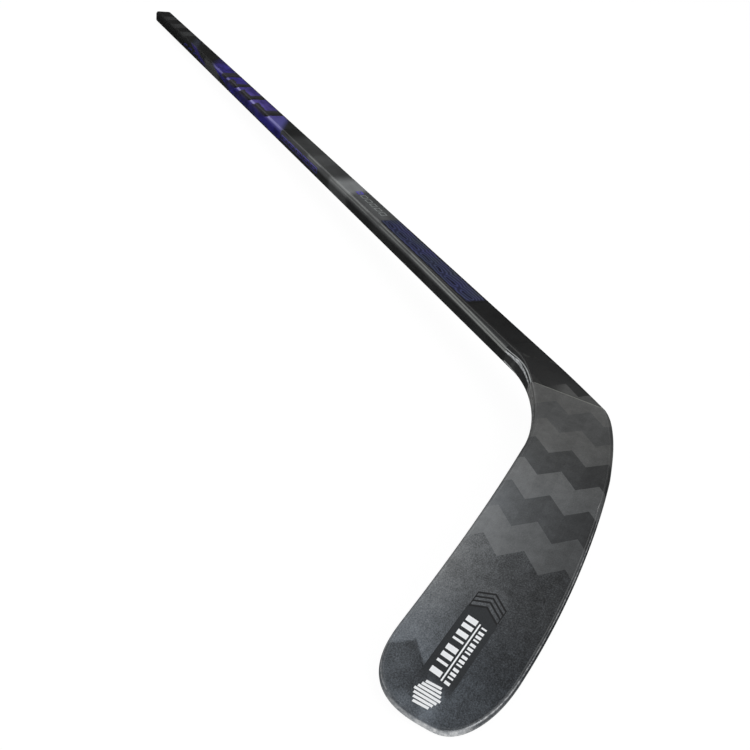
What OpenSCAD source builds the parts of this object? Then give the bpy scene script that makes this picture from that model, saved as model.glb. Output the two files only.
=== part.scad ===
// Left-handed composite ice hockey stick, lying flat with its backhand face up.
// Origin: centre of the butt's flat end. +X points out of the butt, along the shaft.
// +Y points to the side that the blade turns to. +Z is the way the shaft's wide face looks.
// The blade is laid out in a plane of its own, as it stands in play: x runs from the
// heel towards the toe, z is the height above the ice, and y is the way the backhand looks.

/* [Shaft] */
// Length along the back edge, from the heel's corner to the butt
shaft_length = 1532; // [1300:2:1600]
// Width of the faces that carry the graphics
shaft_wide = 28.8; // [27:0.2:31]
// Width of the two edges
shaft_thick = 19.2; // [18:0.2:21]
// Wall of the hollow tube
shaft_wall = 2; // [1.6:0.1:2.6]
// Outside corner radius
shaft_corner = 4.5; // [3.5:0.1:5]

/* [Butt plug] */
// Thickness of the plug's cap
plug_cap = 3; // [2:0.5:5]
// Length of the spigot inside the tube
plug_spigot = 45; // [30:1:60]
// Gap on each side between the spigot and the tube
plug_gap = 0.15; // [0.1:0.05:0.3]

/* [Blade outline] */
// Angle between the shaft and the ice
lie = 46.6; // [44:0.2:49]
// Length from the heel's corner to the toe
blade_length = 307; // [290:1:320]
// Height of the top edge near the heel
heel_height = 68.4; // [62:0.2:72]
// Height of the top edge near the toe
toe_height = 79.2; // [74:0.2:84]
// Dip of the top edge between those two places
top_dip = 2.6; // [0:0.1:4]
// Radius of the rockered sole
sole_radius = 845; // [700:5:2500]
// Extra rise of the sole under the toe
toe_rise = 4.4; // [0:0.1:8]
// Length of the rounded toe
toe_round = 53; // [40:1:60]
// Squareness of the toe, where 2 is an ellipse
toe_square = 2.7; // [2:0.1:3]
// Height of the toe's tip
toe_tip_height = 45; // [38:1:50]
// Where the heel's rounding starts, up the shaft's back edge
heel_round_up = 16; // [12:1:30]
// Where the heel's rounding ends, along the sole
heel_round_on = 70; // [40:1:74]
// Start of the throat's curve, up the shaft from its corner
throat_up = 68; // [50:1:80]
// End of the throat's curve, along the blade's top edge
throat_on = 81; // [70:1:90]
// Sharpness of the throat's curve, where 1 is a parabola
throat_weight = 0.52; // [0.4:0.02:1]

/* [Blade curve] */
// How far the toe stands off the heel's plane
curve_offset = 41.5; // [20:0.5:50]
// Where the curve starts, from the heel's corner
curve_start = 27; // [20:1:60]
// How late the curve bends, where 2 is a parabola
curve_power = 1.8; // [1.6:0.05:2.2]
// Loft of the face at the heel, in degrees
heel_loft = 2.2; // [0:0.1:4]
// Extra loft of the face at the toe, in degrees
toe_loft = 5.7; // [0:0.1:7]

/* [Blade layers] */
// Blade thickness where the hosel ends
blade_heel_thick = 6.4; // [6:0.1:8]
// Blade thickness at the toe
blade_toe_thick = 4.8; // [4.6:0.1:6]
// Thickness of each skin
skin = 0.9; // [0.6:0.1:1]
// Thickness of the rib between the two foam cores
rib = 1.4; // [1:0.1:3]
// Bond line left between neighbouring layers
bond = 0.06; // [0.05:0.01:0.1]

/* [Hosel] */
// Distance from the heel's corner to the square end of the tube
tube_start = 125; // [122:1:140]
// Wall of the hosel's carbon wrap
wrap_wall = 2.4; // [2:0.1:3]
// Length of the tenon inside the tube
tenon_length = 70; // [50:1:90]
// Wall of the tenon's sleeve
sleeve_wall = 1.6; // [1.2:0.1:2]
// Thickness of the adhesive round the tenon
adhesive = 0.3; // [0.2:0.05:0.4]

/* [Hidden] */
$fn = 64;

// Blade outline, as functions of the distance x from the heel's corner.
mid_x = 150;                 // lowest point of the rocker
near_x = 60;                 // where heel_height is measured
far_x = 230;                 // where toe_height is measured
rise_span = 160;             // distance over which toe_rise builds up
top_slope = (toe_height - heel_height) / (far_x - near_x);
function sole_z(x) = pow(x - mid_x, 2) / (2 * sole_radius) + toe_rise * pow(max(x - mid_x, 0) / rise_span, 3);
function dip(x) = top_dip * (1 - pow((x - (near_x + far_x) / 2) / ((far_x - near_x) / 2), 2));
function top_z(x) = heel_height + top_slope * (x - near_x) - dip(x);

// Directions in the blade's plane: up the shaft, and across it towards the inner edge.
up_dir = [-cos(lie), sin(lie)];
in_dir = [sin(lie), cos(lie)];
top_dir = [1, top_slope] / norm([1, top_slope]);
heel_corner = [0, sole_z(0)];
inner_start = heel_corner + shaft_wide * in_dir;

// The inner edge of the shaft and the top edge of the blade meet at the throat's corner.
throat_gap = [near_x, heel_height] - inner_start;
throat_det = up_dir[1] * top_dir[0] - up_dir[0] * top_dir[1];
throat_rise = (throat_gap[1] * top_dir[0] - throat_gap[0] * top_dir[1]) / throat_det;
throat_corner = inner_start + throat_rise * up_dir;
throat_end = [throat_corner[0] + throat_on * top_dir[0], top_z(throat_corner[0] + throat_on * top_dir[0])];
fan_top = throat_rise + throat_up;

// Three-point curve with a weight on its middle point.
function bend(a, b, c, q, w) = (pow(1 - q, 2) * a + 2 * q * (1 - q) * w * b + pow(q, 2) * c)
    / (pow(1 - q, 2) + 2 * q * (1 - q) * w + pow(q, 2));

// Stations run from the tube's end, round the hosel's fan, along the blade and round the toe.
fan_straight = 7;            // fan steps on the straight back edge
fan_heel = 9;                // fan steps on the rounded heel
fan_steps = fan_straight + fan_heel;
body_steps = 12;             // steps along the plain part of the blade
toe_steps = 14;              // steps round each half of the toe
first_fan = 1;
first_body = first_fan + fan_steps;
first_toe = first_body + body_steps;
last = first_toe + toe_steps;
seam = first_fan + fan_straight;  // station where the hosel's wrap gives way to the blade's skins
seam_share = 0.36;           // share of the throat's curve that the seam cuts off
toe_x = blade_length - toe_round;

function fan_outer(j) = j <= fan_straight
    ? heel_corner + (fan_top + (heel_round_up - fan_top) * j / fan_straight) * up_dir
    : bend(heel_corner + heel_round_up * up_dir, heel_corner, [heel_round_on, sole_z(heel_round_on)],
        (j - fan_straight) / fan_heel, 1);
function throat_share(j) = j <= fan_straight ? seam_share * j / fan_straight
    : seam_share + (1 - seam_share) * (j - fan_straight) / fan_heel;
function fan_inner(j) = bend(throat_corner + throat_up * up_dir, throat_corner, throat_end,
    throat_share(j), throat_weight);
function body_x(j) = throat_end[0] + (toe_x - throat_end[0]) * j / body_steps;
function toe_angle(j) = 88.5 * j / toe_steps;

// Points on the sole side (side 0) and the top side (side 1) of station i, moved in by inset.
function raw_pair(i) = i < first_fan
    ? [heel_corner + tube_start * up_dir, inner_start + tube_start * up_dir]
    : i <= first_body ? [fan_outer(i - first_fan), fan_inner(i - first_fan)]
    : [[body_x(i - first_body), sole_z(body_x(i - first_body))],
       [body_x(i - first_body), top_z(body_x(i - first_body))]];
function moved_in(p, q, inset) = p + inset * (q - p) / norm(q - p);
function toe_point(a, side, inset) =
    let (x = toe_x + (toe_round - inset) * pow(sin(a), 2 / toe_square))
    let (edge = side == 0 ? sole_z(x) + inset : top_z(x) - inset)
    [x, toe_tip_height + (edge - toe_tip_height) * pow(max(cos(a), 0), 2 / toe_square)];
function edge_point(i, side, inset) = i > first_toe
    ? toe_point(toe_angle(i - first_toe), side, inset)
    : moved_in(raw_pair(i)[side], raw_pair(i)[1 - side], inset);

// Thickness, corner radius and rim width of station i.
function smooth(q) = q * q * (3 - 2 * q);
function fan_share(i) = min(max((i - first_fan) / fan_steps, 0), 1);
function plain_thick(i) = blade_heel_thick + (blade_toe_thick - blade_heel_thick)
    * min(max((i - first_body) / (body_steps + 4), 0), 1);
function thick(i) = shaft_thick + (plain_thick(i) - shaft_thick) * smooth(fan_share(i));
function corner(i) = min(shaft_corner, thick(i) / 2 - 0.2);
function rim_width(i) = corner(i) + 0.1;

// Offset of the blade's middle surface from the shaft's plane, then the move into the part's frame.
loft_height = 35;            // height at which loft makes no offset
function curve(x) = -curve_offset * pow(max(x - curve_start, 0) / (blade_length - curve_start), curve_power);
function loft(x) = heel_loft * min(max((x + 20) / 80, 0), 1) + toe_loft * max(x, 0) / blade_length;
function mid_y(p) = curve(p[0]) + (p[1] - loft_height) * tan(loft(p[0]));
function place(p, v) =
    let (r = p - heel_corner)
    [r * up_dir - shaft_length, r * in_dir - shaft_wide / 2, mid_y(p) + v];

// Triangles between neighbouring rings of n points, from the point numbered start.
// The two halves of a ring split their panels the same way, so nested layers stay parallel.
function panels(n, m, start) = [for (i = [0:m - 2]) for (k = [0:n - 1])
    let (a = start + i * n + k, b = start + i * n + (k + 1) % n, c = b + n, d = a + n)
    each k < n / 2 ? [[a, b, c], [a, c, d]] : [[a, b, d], [b, c, d]]];
function turned(faces) = [for (f = faces) [f[0], f[2], f[1]]];

// Closed solid from a list of rings, which all have the same even number of points.
module loft_rings(rings) {
    n = len(rings[0]);
    z = (len(rings) - 1) * n;
    caps = [for (j = [0:n / 2 - 2]) let (a = j, b = j + 1, c = n - 2 - j, d = n - 1 - j)
        each [[a, c, b], [a, d, c], [z + a, z + b, z + c], [z + a, z + c, z + d]]];
    polyhedron(points = [for (r = rings) each r], faces = concat(panels(n, len(rings), 0), caps),
        convexity = 8);
}

// Open-ended sleeve from an outer and an inner list of rings.
module sleeve_rings(outer, inner) {
    n = len(outer[0]);
    m = len(outer);
    o = n * m;
    z = n * (m - 1);
    ends = [for (k = [0:n - 1]) let (a = k, b = (k + 1) % n)
        each [[a, o + a, o + b], [a, o + b, b], [z + a, o + z + b, o + z + a], [z + a, z + b, o + z + b]]];
    polyhedron(points = [for (r = concat(outer, inner)) each r],
        faces = concat(panels(n, m, 0), turned(panels(n, m, o)), ends), convexity = 8);
}

// Layer between heights v0 and v1 of the local thickness, and between shares s0 and s1 of the depth.
// The share runs from the sole (0) to the top edge (1), after the rims are taken off.
function layer_ring(i, s0, s1, v0, v1, grow0, grow1, panels) =
    let (a = edge_point(i, 0, rim_width(i) + bond), b = edge_point(i, 1, rim_width(i) + bond))
    let (u = (b - a) / max(norm(b - a), 0.01))
    let (p = a + s0 * (b - a) + grow0 * u, q = a + s1 * (b - a) + grow1 * u)
    concat([for (k = [0:panels]) place(p + (q - p) * k / panels, v0)],
        [for (k = [panels:-1:0]) place(p + (q - p) * k / panels, v1)]);
function core_v(i) = thick(i) / 2 - skin - bond;
function core_ring(i, s0, s1, grow0, grow1, panels) =
    layer_ring(i, s0, s1, -core_v(i), core_v(i), grow0, grow1, panels);

// Rim section at a point of the outline: flat inside, rounded outside.
arc_steps = 4;
function rim_ring(i, side) =
    let (p = edge_point(i, side, 0), q = edge_point(i, side, rim_width(i)))
    let (u = (p - q) / norm(p - q), r = corner(i), h = thick(i) / 2)
    concat([place(q, -h), place(q, h)],
        [for (k = [0:arc_steps]) let (a = 90 * k / arc_steps)
            place(p - r * (1 - sin(a)) * u, h - r + r * cos(a))],
        [for (k = [0:arc_steps]) let (a = 90 * k / arc_steps)
            place(p - r * (1 - cos(a)) * u, -h + r - r * sin(a))]);

// Full rounded section of station i, moved in by a wall, for the hosel.
function hosel_ring(i, wall) =
    let (a = edge_point(i, 0, wall), b = edge_point(i, 1, wall))
    let (u = (b - a) / norm(b - a), h = thick(i) / 2 - wall, r = max(corner(i) - wall, 1))
    [for (c = [[b, -1, 1, 0], [a, 1, 1, 90], [a, 1, -1, 180], [b, -1, -1, 270]])
        for (k = [0:arc_steps]) let (t = c[3] + 90 * k / arc_steps)
            place(c[0] + u * (c[1] * r + r * cos(t)), c[2] * (h - r) + r * sin(t))];

// Rounded rectangle, with its wide side along y.
module round_rect(wide, thin, r) {
    square([wide - 2 * r, thin], center = true);
    square([wide, thin - 2 * r], center = true);
    for (x = [-1, 1], y = [-1, 1]) {
        translate([x * (wide / 2 - r), y * (thin / 2 - r)]) circle(r);
    }
}

// Lays a flat section across the shaft and gives it a length, from near to far along the shaft,
// where both are distances from the heel's corner.
module along_shaft(near, far) {
    translate([near - shaft_length, 0, 0]) rotate([90, 0, 90]) linear_extrude(far - near) children();
}

bore_wide = shaft_wide - 2 * shaft_wall;
bore_thick = shaft_thick - 2 * shaft_wall;
bore_corner = shaft_corner - shaft_wall;

// Section inside the bore that keeps a gap to the wall.
module in_bore(gap) {
    round_rect(bore_wide - 2 * gap, bore_thick - 2 * gap, max(bore_corner - gap, 0.8));
}

module shaft_tube() {
    color("#17181a") along_shaft(tube_start + bond, shaft_length - plug_cap - bond) difference() {
        round_rect(shaft_wide, shaft_thick, shaft_corner);
        in_bore(0);
    }
}

// Cap flush with the tube, on a hollow spigot.
module end_plug() {
    color("#232427") {
        along_shaft(shaft_length - plug_cap, shaft_length) round_rect(shaft_wide, shaft_thick, shaft_corner);
        along_shaft(shaft_length - plug_cap - plug_spigot, shaft_length - plug_cap) difference() {
            in_bore(plug_gap);
            in_bore(plug_gap + 2.2);
        }
    }
}

tenon_top = tube_start + tenon_length;
sleeve_gap = adhesive + 2 * bond;

// Foam block that keeps adhesive out of the shaft.
module foam_stopper() {
    color("#b9b6a4") along_shaft(tenon_top + 1, tenon_top + 31) in_bore(bond);
}

module tenon_adhesive() {
    color("#c9b27a") along_shaft(tube_start + 2, tenon_top) difference() {
        in_bore(bond);
        in_bore(bond + adhesive);
    }
}

module tenon_sleeve() {
    color("#26282a") along_shaft(tube_start + bond, tenon_top) difference() {
        in_bore(sleeve_gap);
        in_bore(sleeve_gap + sleeve_wall);
    }
}

module tenon_core() {
    color("#d8d4c2") along_shaft(tube_start + bond, tenon_top) in_bore(sleeve_gap + sleeve_wall + bond);
}

module hosel_wrap() {
    color("#1b1c1e") sleeve_rings([for (i = [0:seam]) hosel_ring(i, 0)],
        [for (i = [0:seam]) hosel_ring(i, wrap_wall)]);
}

// Foam that fills the hosel, under the tenon.
module hosel_core() {
    color("#cfcbb8") loft_rings([for (i = [0:seam]) hosel_ring(i, wrap_wall + bond)]);
}

// Moves the blade's layers some bond lines towards the toe, clear of the piece before them.
module toward_toe(lines) {
    translate(lines * bond * [-cos(lie), sin(lie), 0]) children();
}

module backhand_skin() {
    color("#45494a") toward_toe(1) loft_rings([for (i = [seam:last])
        layer_ring(i, 0, 1, thick(i) / 2 - skin, thick(i) / 2, 0, 0, 6)]);
}

module forehand_skin() {
    color("#3a3d3f") toward_toe(1) loft_rings([for (i = [seam:last])
        layer_ring(i, 0, 1, -thick(i) / 2, skin - thick(i) / 2, 0, 0, 6)]);
}

module sole_rim() {
    color("#5c6163") toward_toe(1) loft_rings([for (i = [seam:first_toe]) rim_ring(i, 0)]);
}

module toe_rim() {
    color("#8d9295") toward_toe(2) loft_rings(concat([for (i = [first_toe:last]) rim_ring(i, 0)],
        [for (i = [last:-1:first_toe]) rim_ring(i, 1)]));
}

module top_rim() {
    color("#4a4e50") toward_toe(1) loft_rings([for (i = [first_toe:-1:seam]) rim_ring(i, 1)]);
}

rib_first = first_body - 2;
rib_last = first_toe + 1;
rib_half = rib / 2;

// Dense foam behind the skins, from the hosel to the start of the rib.
module heel_core() {
    color("#c3bfae") toward_toe(1) loft_rings([for (i = [seam:rib_first]) core_ring(i, 0, 1, 0, 0, 6)]);
}

module upper_core() {
    color("#dcd8c8") toward_toe(2) loft_rings([for (i = [rib_first:rib_last])
        core_ring(i, 0.5, 1, rib_half + bond, 0, 3)]);
}

module lower_core() {
    color("#e4e0d0") toward_toe(2) loft_rings([for (i = [rib_first:rib_last])
        core_ring(i, 0, 0.5, 0, -rib_half - bond, 3)]);
}

module core_rib() {
    color("#303335") toward_toe(2) loft_rings([for (i = [rib_first:rib_last])
        core_ring(i, 0.5, 0.5, -rib_half, rib_half, 1)]);
}

module toe_insert() {
    color("#2b2d2e") toward_toe(3) loft_rings([for (i = [rib_last:last - 1]) core_ring(i, 0, 1, 0, 0, 6)]);
}

// Printed films on the shaft. Distances run up the shaft from the heel's corner.
film = 0.14;                 // film thickness
film_gap = 0.03;             // adhesive under a film
fade_from = 742;
fade_to = 1140;
line_from = 205;
line_to = 418;
face_flat = shaft_wide - 2 * shaft_corner;
edge_flat = shaft_thick - 2 * shaft_corner;

// Film that wraps from the wide face round one corner onto the inner edge.
module corner_film() {
    difference() {
        round_rect(shaft_wide + 2 * (film_gap + film), shaft_thick + 2 * (film_gap + film),
            shaft_corner + film_gap + film);
        round_rect(shaft_wide + 2 * film_gap, shaft_thick + 2 * film_gap, shaft_corner + film_gap);
        translate([-shaft_wide - face_flat / 2, -shaft_thick]) square([shaft_wide, 2 * shaft_thick]);
        translate([-shaft_wide, -shaft_thick - edge_flat / 2]) square([2 * shaft_wide, shaft_thick]);
    }
}

// Flat film on the wide face, between two places across it.
module face_film(low, high) {
    translate([low, shaft_thick / 2 + film_gap]) square([high - low, film]);
}

// Flat film on the inner edge.
module edge_film(low, high) {
    translate([shaft_wide / 2 + film_gap, low]) square([film, high - low]);
}

module fade_graphic() {
    color("#3d2f86") along_shaft(fade_from, fade_to) corner_film();
}

// Row of outlined blocks on the inner edge.
side_blocks = 5;
side_from = 598;
side_pitch = 28.6;
side_length = 24.6;
module side_graphic() {
    color("#4a3f92") for (k = [0:side_blocks - 1]) {
        along_shaft(side_from + k * side_pitch, side_from + k * side_pitch + side_length)
            edge_film(-0.27 * edge_flat, 0.43 * edge_flat);
    }
}

module line_graphic() {
    color("#2c2d55") along_shaft(line_from, line_to) face_film(-face_flat / 2, face_flat / 2);
}

// Short bars of the size mark.
size_bars = 6;
size_from = 424;
size_pitch = 13.4;
size_length = 9.4;
module size_mark() {
    color("#6a6d72") for (k = [0:size_bars - 1]) {
        along_shaft(size_from + k * size_pitch, size_from + k * size_pitch + size_length) face_film(-4, 4);
    }
}

butt_bars = 4;
butt_from = 1170;
butt_pitch = 34;
butt_length = 24;
module butt_mark() {
    color("#31355c") for (k = [0:butt_bars - 1]) {
        along_shaft(butt_from + k * butt_pitch, butt_from + k * butt_pitch + butt_length)
            edge_film(-0.3 * edge_flat, 0.3 * edge_flat);
    }
}

// Label on the backhand face, a slanted band with a pointed heel end.
label_heel = [208, 39];
label_toe = [298, 52.5];
label_half = 10.5;
label_point = 9;             // length of the pointed end
label_steps = 12;
label_dir = (label_toe - label_heel) / norm(label_toe - label_heel);
label_up = [-label_dir[1], label_dir[0]];
label_length = norm(label_toe - label_heel);
function station_at(x) = first_body + body_steps * (x - throat_end[0]) / (toe_x - throat_end[0]);
function label_ring(s) =
    let (c = label_heel + s * label_length * label_dir)
    let (h = label_half * min(0.45 + 0.55 * s * label_length / label_point, 1))
    let (v = plain_thick(station_at(c[0])) / 2 + 2 * film_gap)
    concat([for (k = [-2:2]) place(c + h * k / 2 * label_up, v)],
        [for (k = [2:-1:-2]) place(c + h * k / 2 * label_up, v + film)]);
module blade_label() {
    color("#26292b") toward_toe(1) loft_rings([for (k = [0:label_steps]) label_ring(k / label_steps)]);
}

shaft_tube();
end_plug();
foam_stopper();
tenon_core();
tenon_sleeve();
tenon_adhesive();
hosel_wrap();
hosel_core();
heel_core();
backhand_skin();
forehand_skin();
sole_rim();
toe_rim();
top_rim();
upper_core();
lower_core();
core_rib();
toe_insert();
fade_graphic();
side_graphic();
line_graphic();
size_mark();
butt_mark();
blade_label();
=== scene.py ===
"""Looks of a left-handed composite ice hockey stick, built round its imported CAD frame."""

import math

import bmesh
import bpy
import numpy as np
from mathutils import Matrix, Vector

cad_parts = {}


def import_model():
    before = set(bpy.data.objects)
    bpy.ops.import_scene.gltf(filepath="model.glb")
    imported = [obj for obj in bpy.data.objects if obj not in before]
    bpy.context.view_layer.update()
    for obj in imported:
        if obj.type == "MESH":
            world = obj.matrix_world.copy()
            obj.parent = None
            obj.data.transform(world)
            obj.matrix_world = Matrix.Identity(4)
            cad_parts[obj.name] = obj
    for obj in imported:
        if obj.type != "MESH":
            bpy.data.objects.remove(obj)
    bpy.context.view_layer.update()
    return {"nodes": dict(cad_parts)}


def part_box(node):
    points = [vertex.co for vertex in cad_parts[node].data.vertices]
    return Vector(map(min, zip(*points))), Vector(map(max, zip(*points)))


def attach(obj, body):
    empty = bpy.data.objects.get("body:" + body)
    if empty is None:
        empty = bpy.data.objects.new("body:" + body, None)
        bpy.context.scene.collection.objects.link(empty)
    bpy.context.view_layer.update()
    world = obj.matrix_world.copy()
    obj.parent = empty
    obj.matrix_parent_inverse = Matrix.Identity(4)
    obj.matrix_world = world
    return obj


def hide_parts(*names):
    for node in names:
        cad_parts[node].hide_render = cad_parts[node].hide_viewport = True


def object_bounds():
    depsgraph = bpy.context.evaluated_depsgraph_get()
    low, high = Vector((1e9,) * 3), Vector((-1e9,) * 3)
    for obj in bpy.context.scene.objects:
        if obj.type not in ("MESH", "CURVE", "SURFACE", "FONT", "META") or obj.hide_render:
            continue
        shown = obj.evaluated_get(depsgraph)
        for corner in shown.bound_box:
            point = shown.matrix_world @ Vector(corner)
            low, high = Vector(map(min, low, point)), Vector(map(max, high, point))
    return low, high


MM = 0.001

# Shaft, in mm.
LENGTH = 1532.0
WIDE = 28.8
THICK = 19.2
WALL = 2.0
CORNER = 4.5
PLUG_CAP = 3.0
PLUG_SPIGOT = 45.0
PLUG_GAP = 0.15
TUBE_START = 125.0
EDGE_BREAK = 0.3
RIB_DEPTH = 0.5

# Depth below the butt's end, inset and corner radius of the plug's face, from its recess out to its side.
PLUG_FACE = ((0.7, 5.4, 1.2), (0.7, 4.2, 1.6), (0.0, 3.6, 1.8),
             (0.0, 0.9, 3.6), (0.3, 0.35, 4.15), (0.9, 0.0, 4.5))

# Blade outline, in mm: x runs from the heel's corner to the toe, z is the height above the ice.
LIE = math.radians(46.6)
BLADE = 307.0
HEEL_HEIGHT = 68.4
TOE_HEIGHT = 79.2
TOP_DIP = 2.6
NEAR_X = 60.0
FAR_X = 230.0
SOLE_RADIUS = 845.0
MID_X = 150.0
TOE_RISE = 4.4
RISE_SPAN = 160.0
TOE_ROUND = 53.0
TOE_SQUARE = 2.7
TIP_HEIGHT = 45.0
HEEL_UP = 16.0
HEEL_ON = 70.0
THROAT_UP = 68.0
THROAT_ON = 81.0
THROAT_WEIGHT = 0.52

# Blade curve and layers, in mm and degrees.
CURVE = 41.5
CURVE_START = 27.0
CURVE_POWER = 1.8
HEEL_LOFT = 2.2
TOE_LOFT = 5.7
LOFT_HEIGHT = 35.0
LOFT_START = -20.0
LOFT_SPAN = 80.0
HEEL_THICK = 6.4
TOE_THICK = 4.8
SKIN = 0.9
BOND = 0.06
WRAP = 2.4
CORNER_SPARE = 0.2
RIM_SPARE = 0.1

# Stations along the stick, from the tube's end round to the toe.
FAN_STRAIGHT = 7
FAN_HEEL = 9
FIRST_FAN = 1
SEAM = FIRST_FAN + FAN_STRAIGHT
FIRST_BODY = FIRST_FAN + FAN_STRAIGHT + FAN_HEEL
BODY_STEPS = 12
THIN_STEPS = BODY_STEPS + 4
FIRST_TOE = FIRST_BODY + BODY_STEPS
TOE_STEPS = 14
LAST = FIRST_TOE + TOE_STEPS
TOE_SWEEP = math.radians(89.7)
SEAM_SHARE = 0.36
TOE_X = BLADE - TOE_ROUND
TOP_SLOPE = (TOE_HEIGHT - HEEL_HEIGHT) / (FAR_X - NEAR_X)

UP = np.array([-math.cos(LIE), math.sin(LIE)])
ACROSS = np.array([math.sin(LIE), math.cos(LIE)])


def sole_z(x):
    """Height of the rockered sole at x."""
    return (x - MID_X) ** 2 / (2 * SOLE_RADIUS) + TOE_RISE * (max(x - MID_X, 0) / RISE_SPAN) ** 3


def top_z(x):
    """Height of the top edge at x."""
    share = (x - (NEAR_X + FAR_X) / 2) / ((FAR_X - NEAR_X) / 2)
    return HEEL_HEIGHT + TOP_SLOPE * (x - NEAR_X) - TOP_DIP * (1 - share * share)


HEEL = np.array([0.0, sole_z(0)])
INNER_START = HEEL + WIDE * ACROSS
TOP_DIR = np.array([1, TOP_SLOPE]) / math.hypot(1, TOP_SLOPE)


def throat_rise():
    """Distance up the inner edge to where it meets the line of the top edge."""
    gap = np.array([NEAR_X, HEEL_HEIGHT]) - INNER_START
    det = UP[1] * TOP_DIR[0] - UP[0] * TOP_DIR[1]
    return (gap[1] * TOP_DIR[0] - gap[0] * TOP_DIR[1]) / det


THROAT = INNER_START + throat_rise() * UP
THROAT_END_X = THROAT[0] + THROAT_ON * TOP_DIR[0]
THROAT_END = np.array([THROAT_END_X, top_z(THROAT_END_X)])
FAN_TOP = throat_rise() + THROAT_UP


def bend(a, b, c, q, w):
    """Three-point curve with a weight on its middle point."""
    low, mid, high = (1 - q) ** 2, 2 * q * (1 - q) * w, q * q
    return (low * a + mid * b + high * c) / (low + mid + high)


def fan_outer(j):
    """Point j on the back edge and the rounded heel."""
    if j <= FAN_STRAIGHT:
        return HEEL + (FAN_TOP + (HEEL_UP - FAN_TOP) * j / FAN_STRAIGHT) * UP
    foot = np.array([HEEL_ON, sole_z(HEEL_ON)])
    return bend(HEEL + HEEL_UP * UP, HEEL, foot, (j - FAN_STRAIGHT) / FAN_HEEL, 1)


def fan_inner(j):
    """Point j on the curve of the throat."""
    if j <= FAN_STRAIGHT:
        share = SEAM_SHARE * j / FAN_STRAIGHT
    else:
        share = SEAM_SHARE + (1 - SEAM_SHARE) * (j - FAN_STRAIGHT) / FAN_HEEL
    return bend(THROAT + THROAT_UP * UP, THROAT, THROAT_END, share, THROAT_WEIGHT)


def raw_pair(s):
    """Outline points at station s, on the sole side and on the top side."""
    if s < FIRST_FAN:
        low, high = HEEL + TUBE_START * UP, INNER_START + TUBE_START * UP
        share = s / FIRST_FAN
        return low + share * (fan_outer(0) - low), high + share * (fan_inner(0) - high)
    if s <= FIRST_BODY:
        return fan_outer(s - FIRST_FAN), fan_inner(s - FIRST_FAN)
    x = THROAT_END[0] + (TOE_X - THROAT_END[0]) * (s - FIRST_BODY) / BODY_STEPS
    return np.array([x, sole_z(x)]), np.array([x, top_z(x)])


def toe_point(angle, side, inset):
    """Point of the toe's outline; side 0 is the sole and side 1 the top."""
    x = TOE_X + (TOE_ROUND - inset) * math.sin(angle) ** (2 / TOE_SQUARE)
    edge = top_z(x) - inset if side else sole_z(x) + inset
    return np.array([x, TIP_HEIGHT + (edge - TIP_HEIGHT) * max(math.cos(angle), 0) ** (2 / TOE_SQUARE)])


def edge_point(s, side, inset):
    """Outline point at station s, moved in by inset."""
    if s > FIRST_TOE:
        return toe_point(TOE_SWEEP * (s - FIRST_TOE) / TOE_STEPS, side, inset)
    pair = raw_pair(s)
    step = pair[1 - side] - pair[side]
    return pair[side] + inset * step / np.linalg.norm(step)


def thick(s):
    """Thickness at station s."""
    q = min(max((s - FIRST_FAN) / (FAN_STRAIGHT + FAN_HEEL), 0), 1)
    share = min(max((s - FIRST_BODY) / THIN_STEPS, 0), 1)
    plain = HEEL_THICK + (TOE_THICK - HEEL_THICK) * share
    return THICK + (plain - THICK) * q * q * (3 - 2 * q)


def corner(s):
    """Corner radius at station s."""
    return min(CORNER, thick(s) / 2 - CORNER_SPARE)


def rim_width(s):
    """Width of the rim at station s."""
    return corner(s) + RIM_SPARE


def mid_y(p):
    """Offset of the blade's middle surface from the shaft's plane."""
    sweep = -CURVE * (max(p[0] - CURVE_START, 0) / (BLADE - CURVE_START)) ** CURVE_POWER
    twist = HEEL_LOFT * min(max((p[0] - LOFT_START) / LOFT_SPAN, 0), 1) + TOE_LOFT * max(p[0], 0) / BLADE
    return sweep + (p[1] - LOFT_HEIGHT) * math.tan(math.radians(twist))


def place(p, v):
    """Blade point p at height v above the middle surface, in the shared frame."""
    r = p - HEEL
    return (r @ UP - LENGTH, r @ ACROSS - WIDE / 2, mid_y(p) + v)


# ---------------------------------------------------------------- meshes


ARC = 9
FLAT_WIDE = 10
FLAT_THIN = 4
FACE_STEPS = 25
WELD = 1e-7
SHARP = math.radians(32)


def loft(rings):
    """Closed mesh through rings of equal, even length, with a strip of quads over each end."""
    n, m = len(rings[0]), len(rings)
    faces = [(i * n + k, i * n + (k + 1) % n, (i + 1) * n + (k + 1) % n, (i + 1) * n + k)
             for i in range(m - 1) for k in range(n)]
    for start in (0, (m - 1) * n):
        end = start + n
        faces += [(start + j, start + j + 1, end - 2 - j, end - 1 - j) for j in range(n // 2 - 1)]
    return [p for ring in rings for p in ring], faces


def sleeve(outer, inner):
    """Closed mesh of an open-ended tube from its outer and inner rings."""
    n, m = len(outer[0]), 2 * len(outer)
    rings = outer + inner[::-1]
    faces = [(i * n + k, i * n + (k + 1) % n, (i + 1) % m * n + (k + 1) % n, (i + 1) % m * n + k)
             for i in range(m) for k in range(n)]
    return [p for ring in rings for p in ring], faces


def merge(parts):
    """One mesh from several."""
    points, faces = [], []
    for some_points, some_faces in parts:
        start = len(points)
        points += some_points
        faces += [tuple(start + k for k in face) for face in some_faces]
    return points, faces


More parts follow.
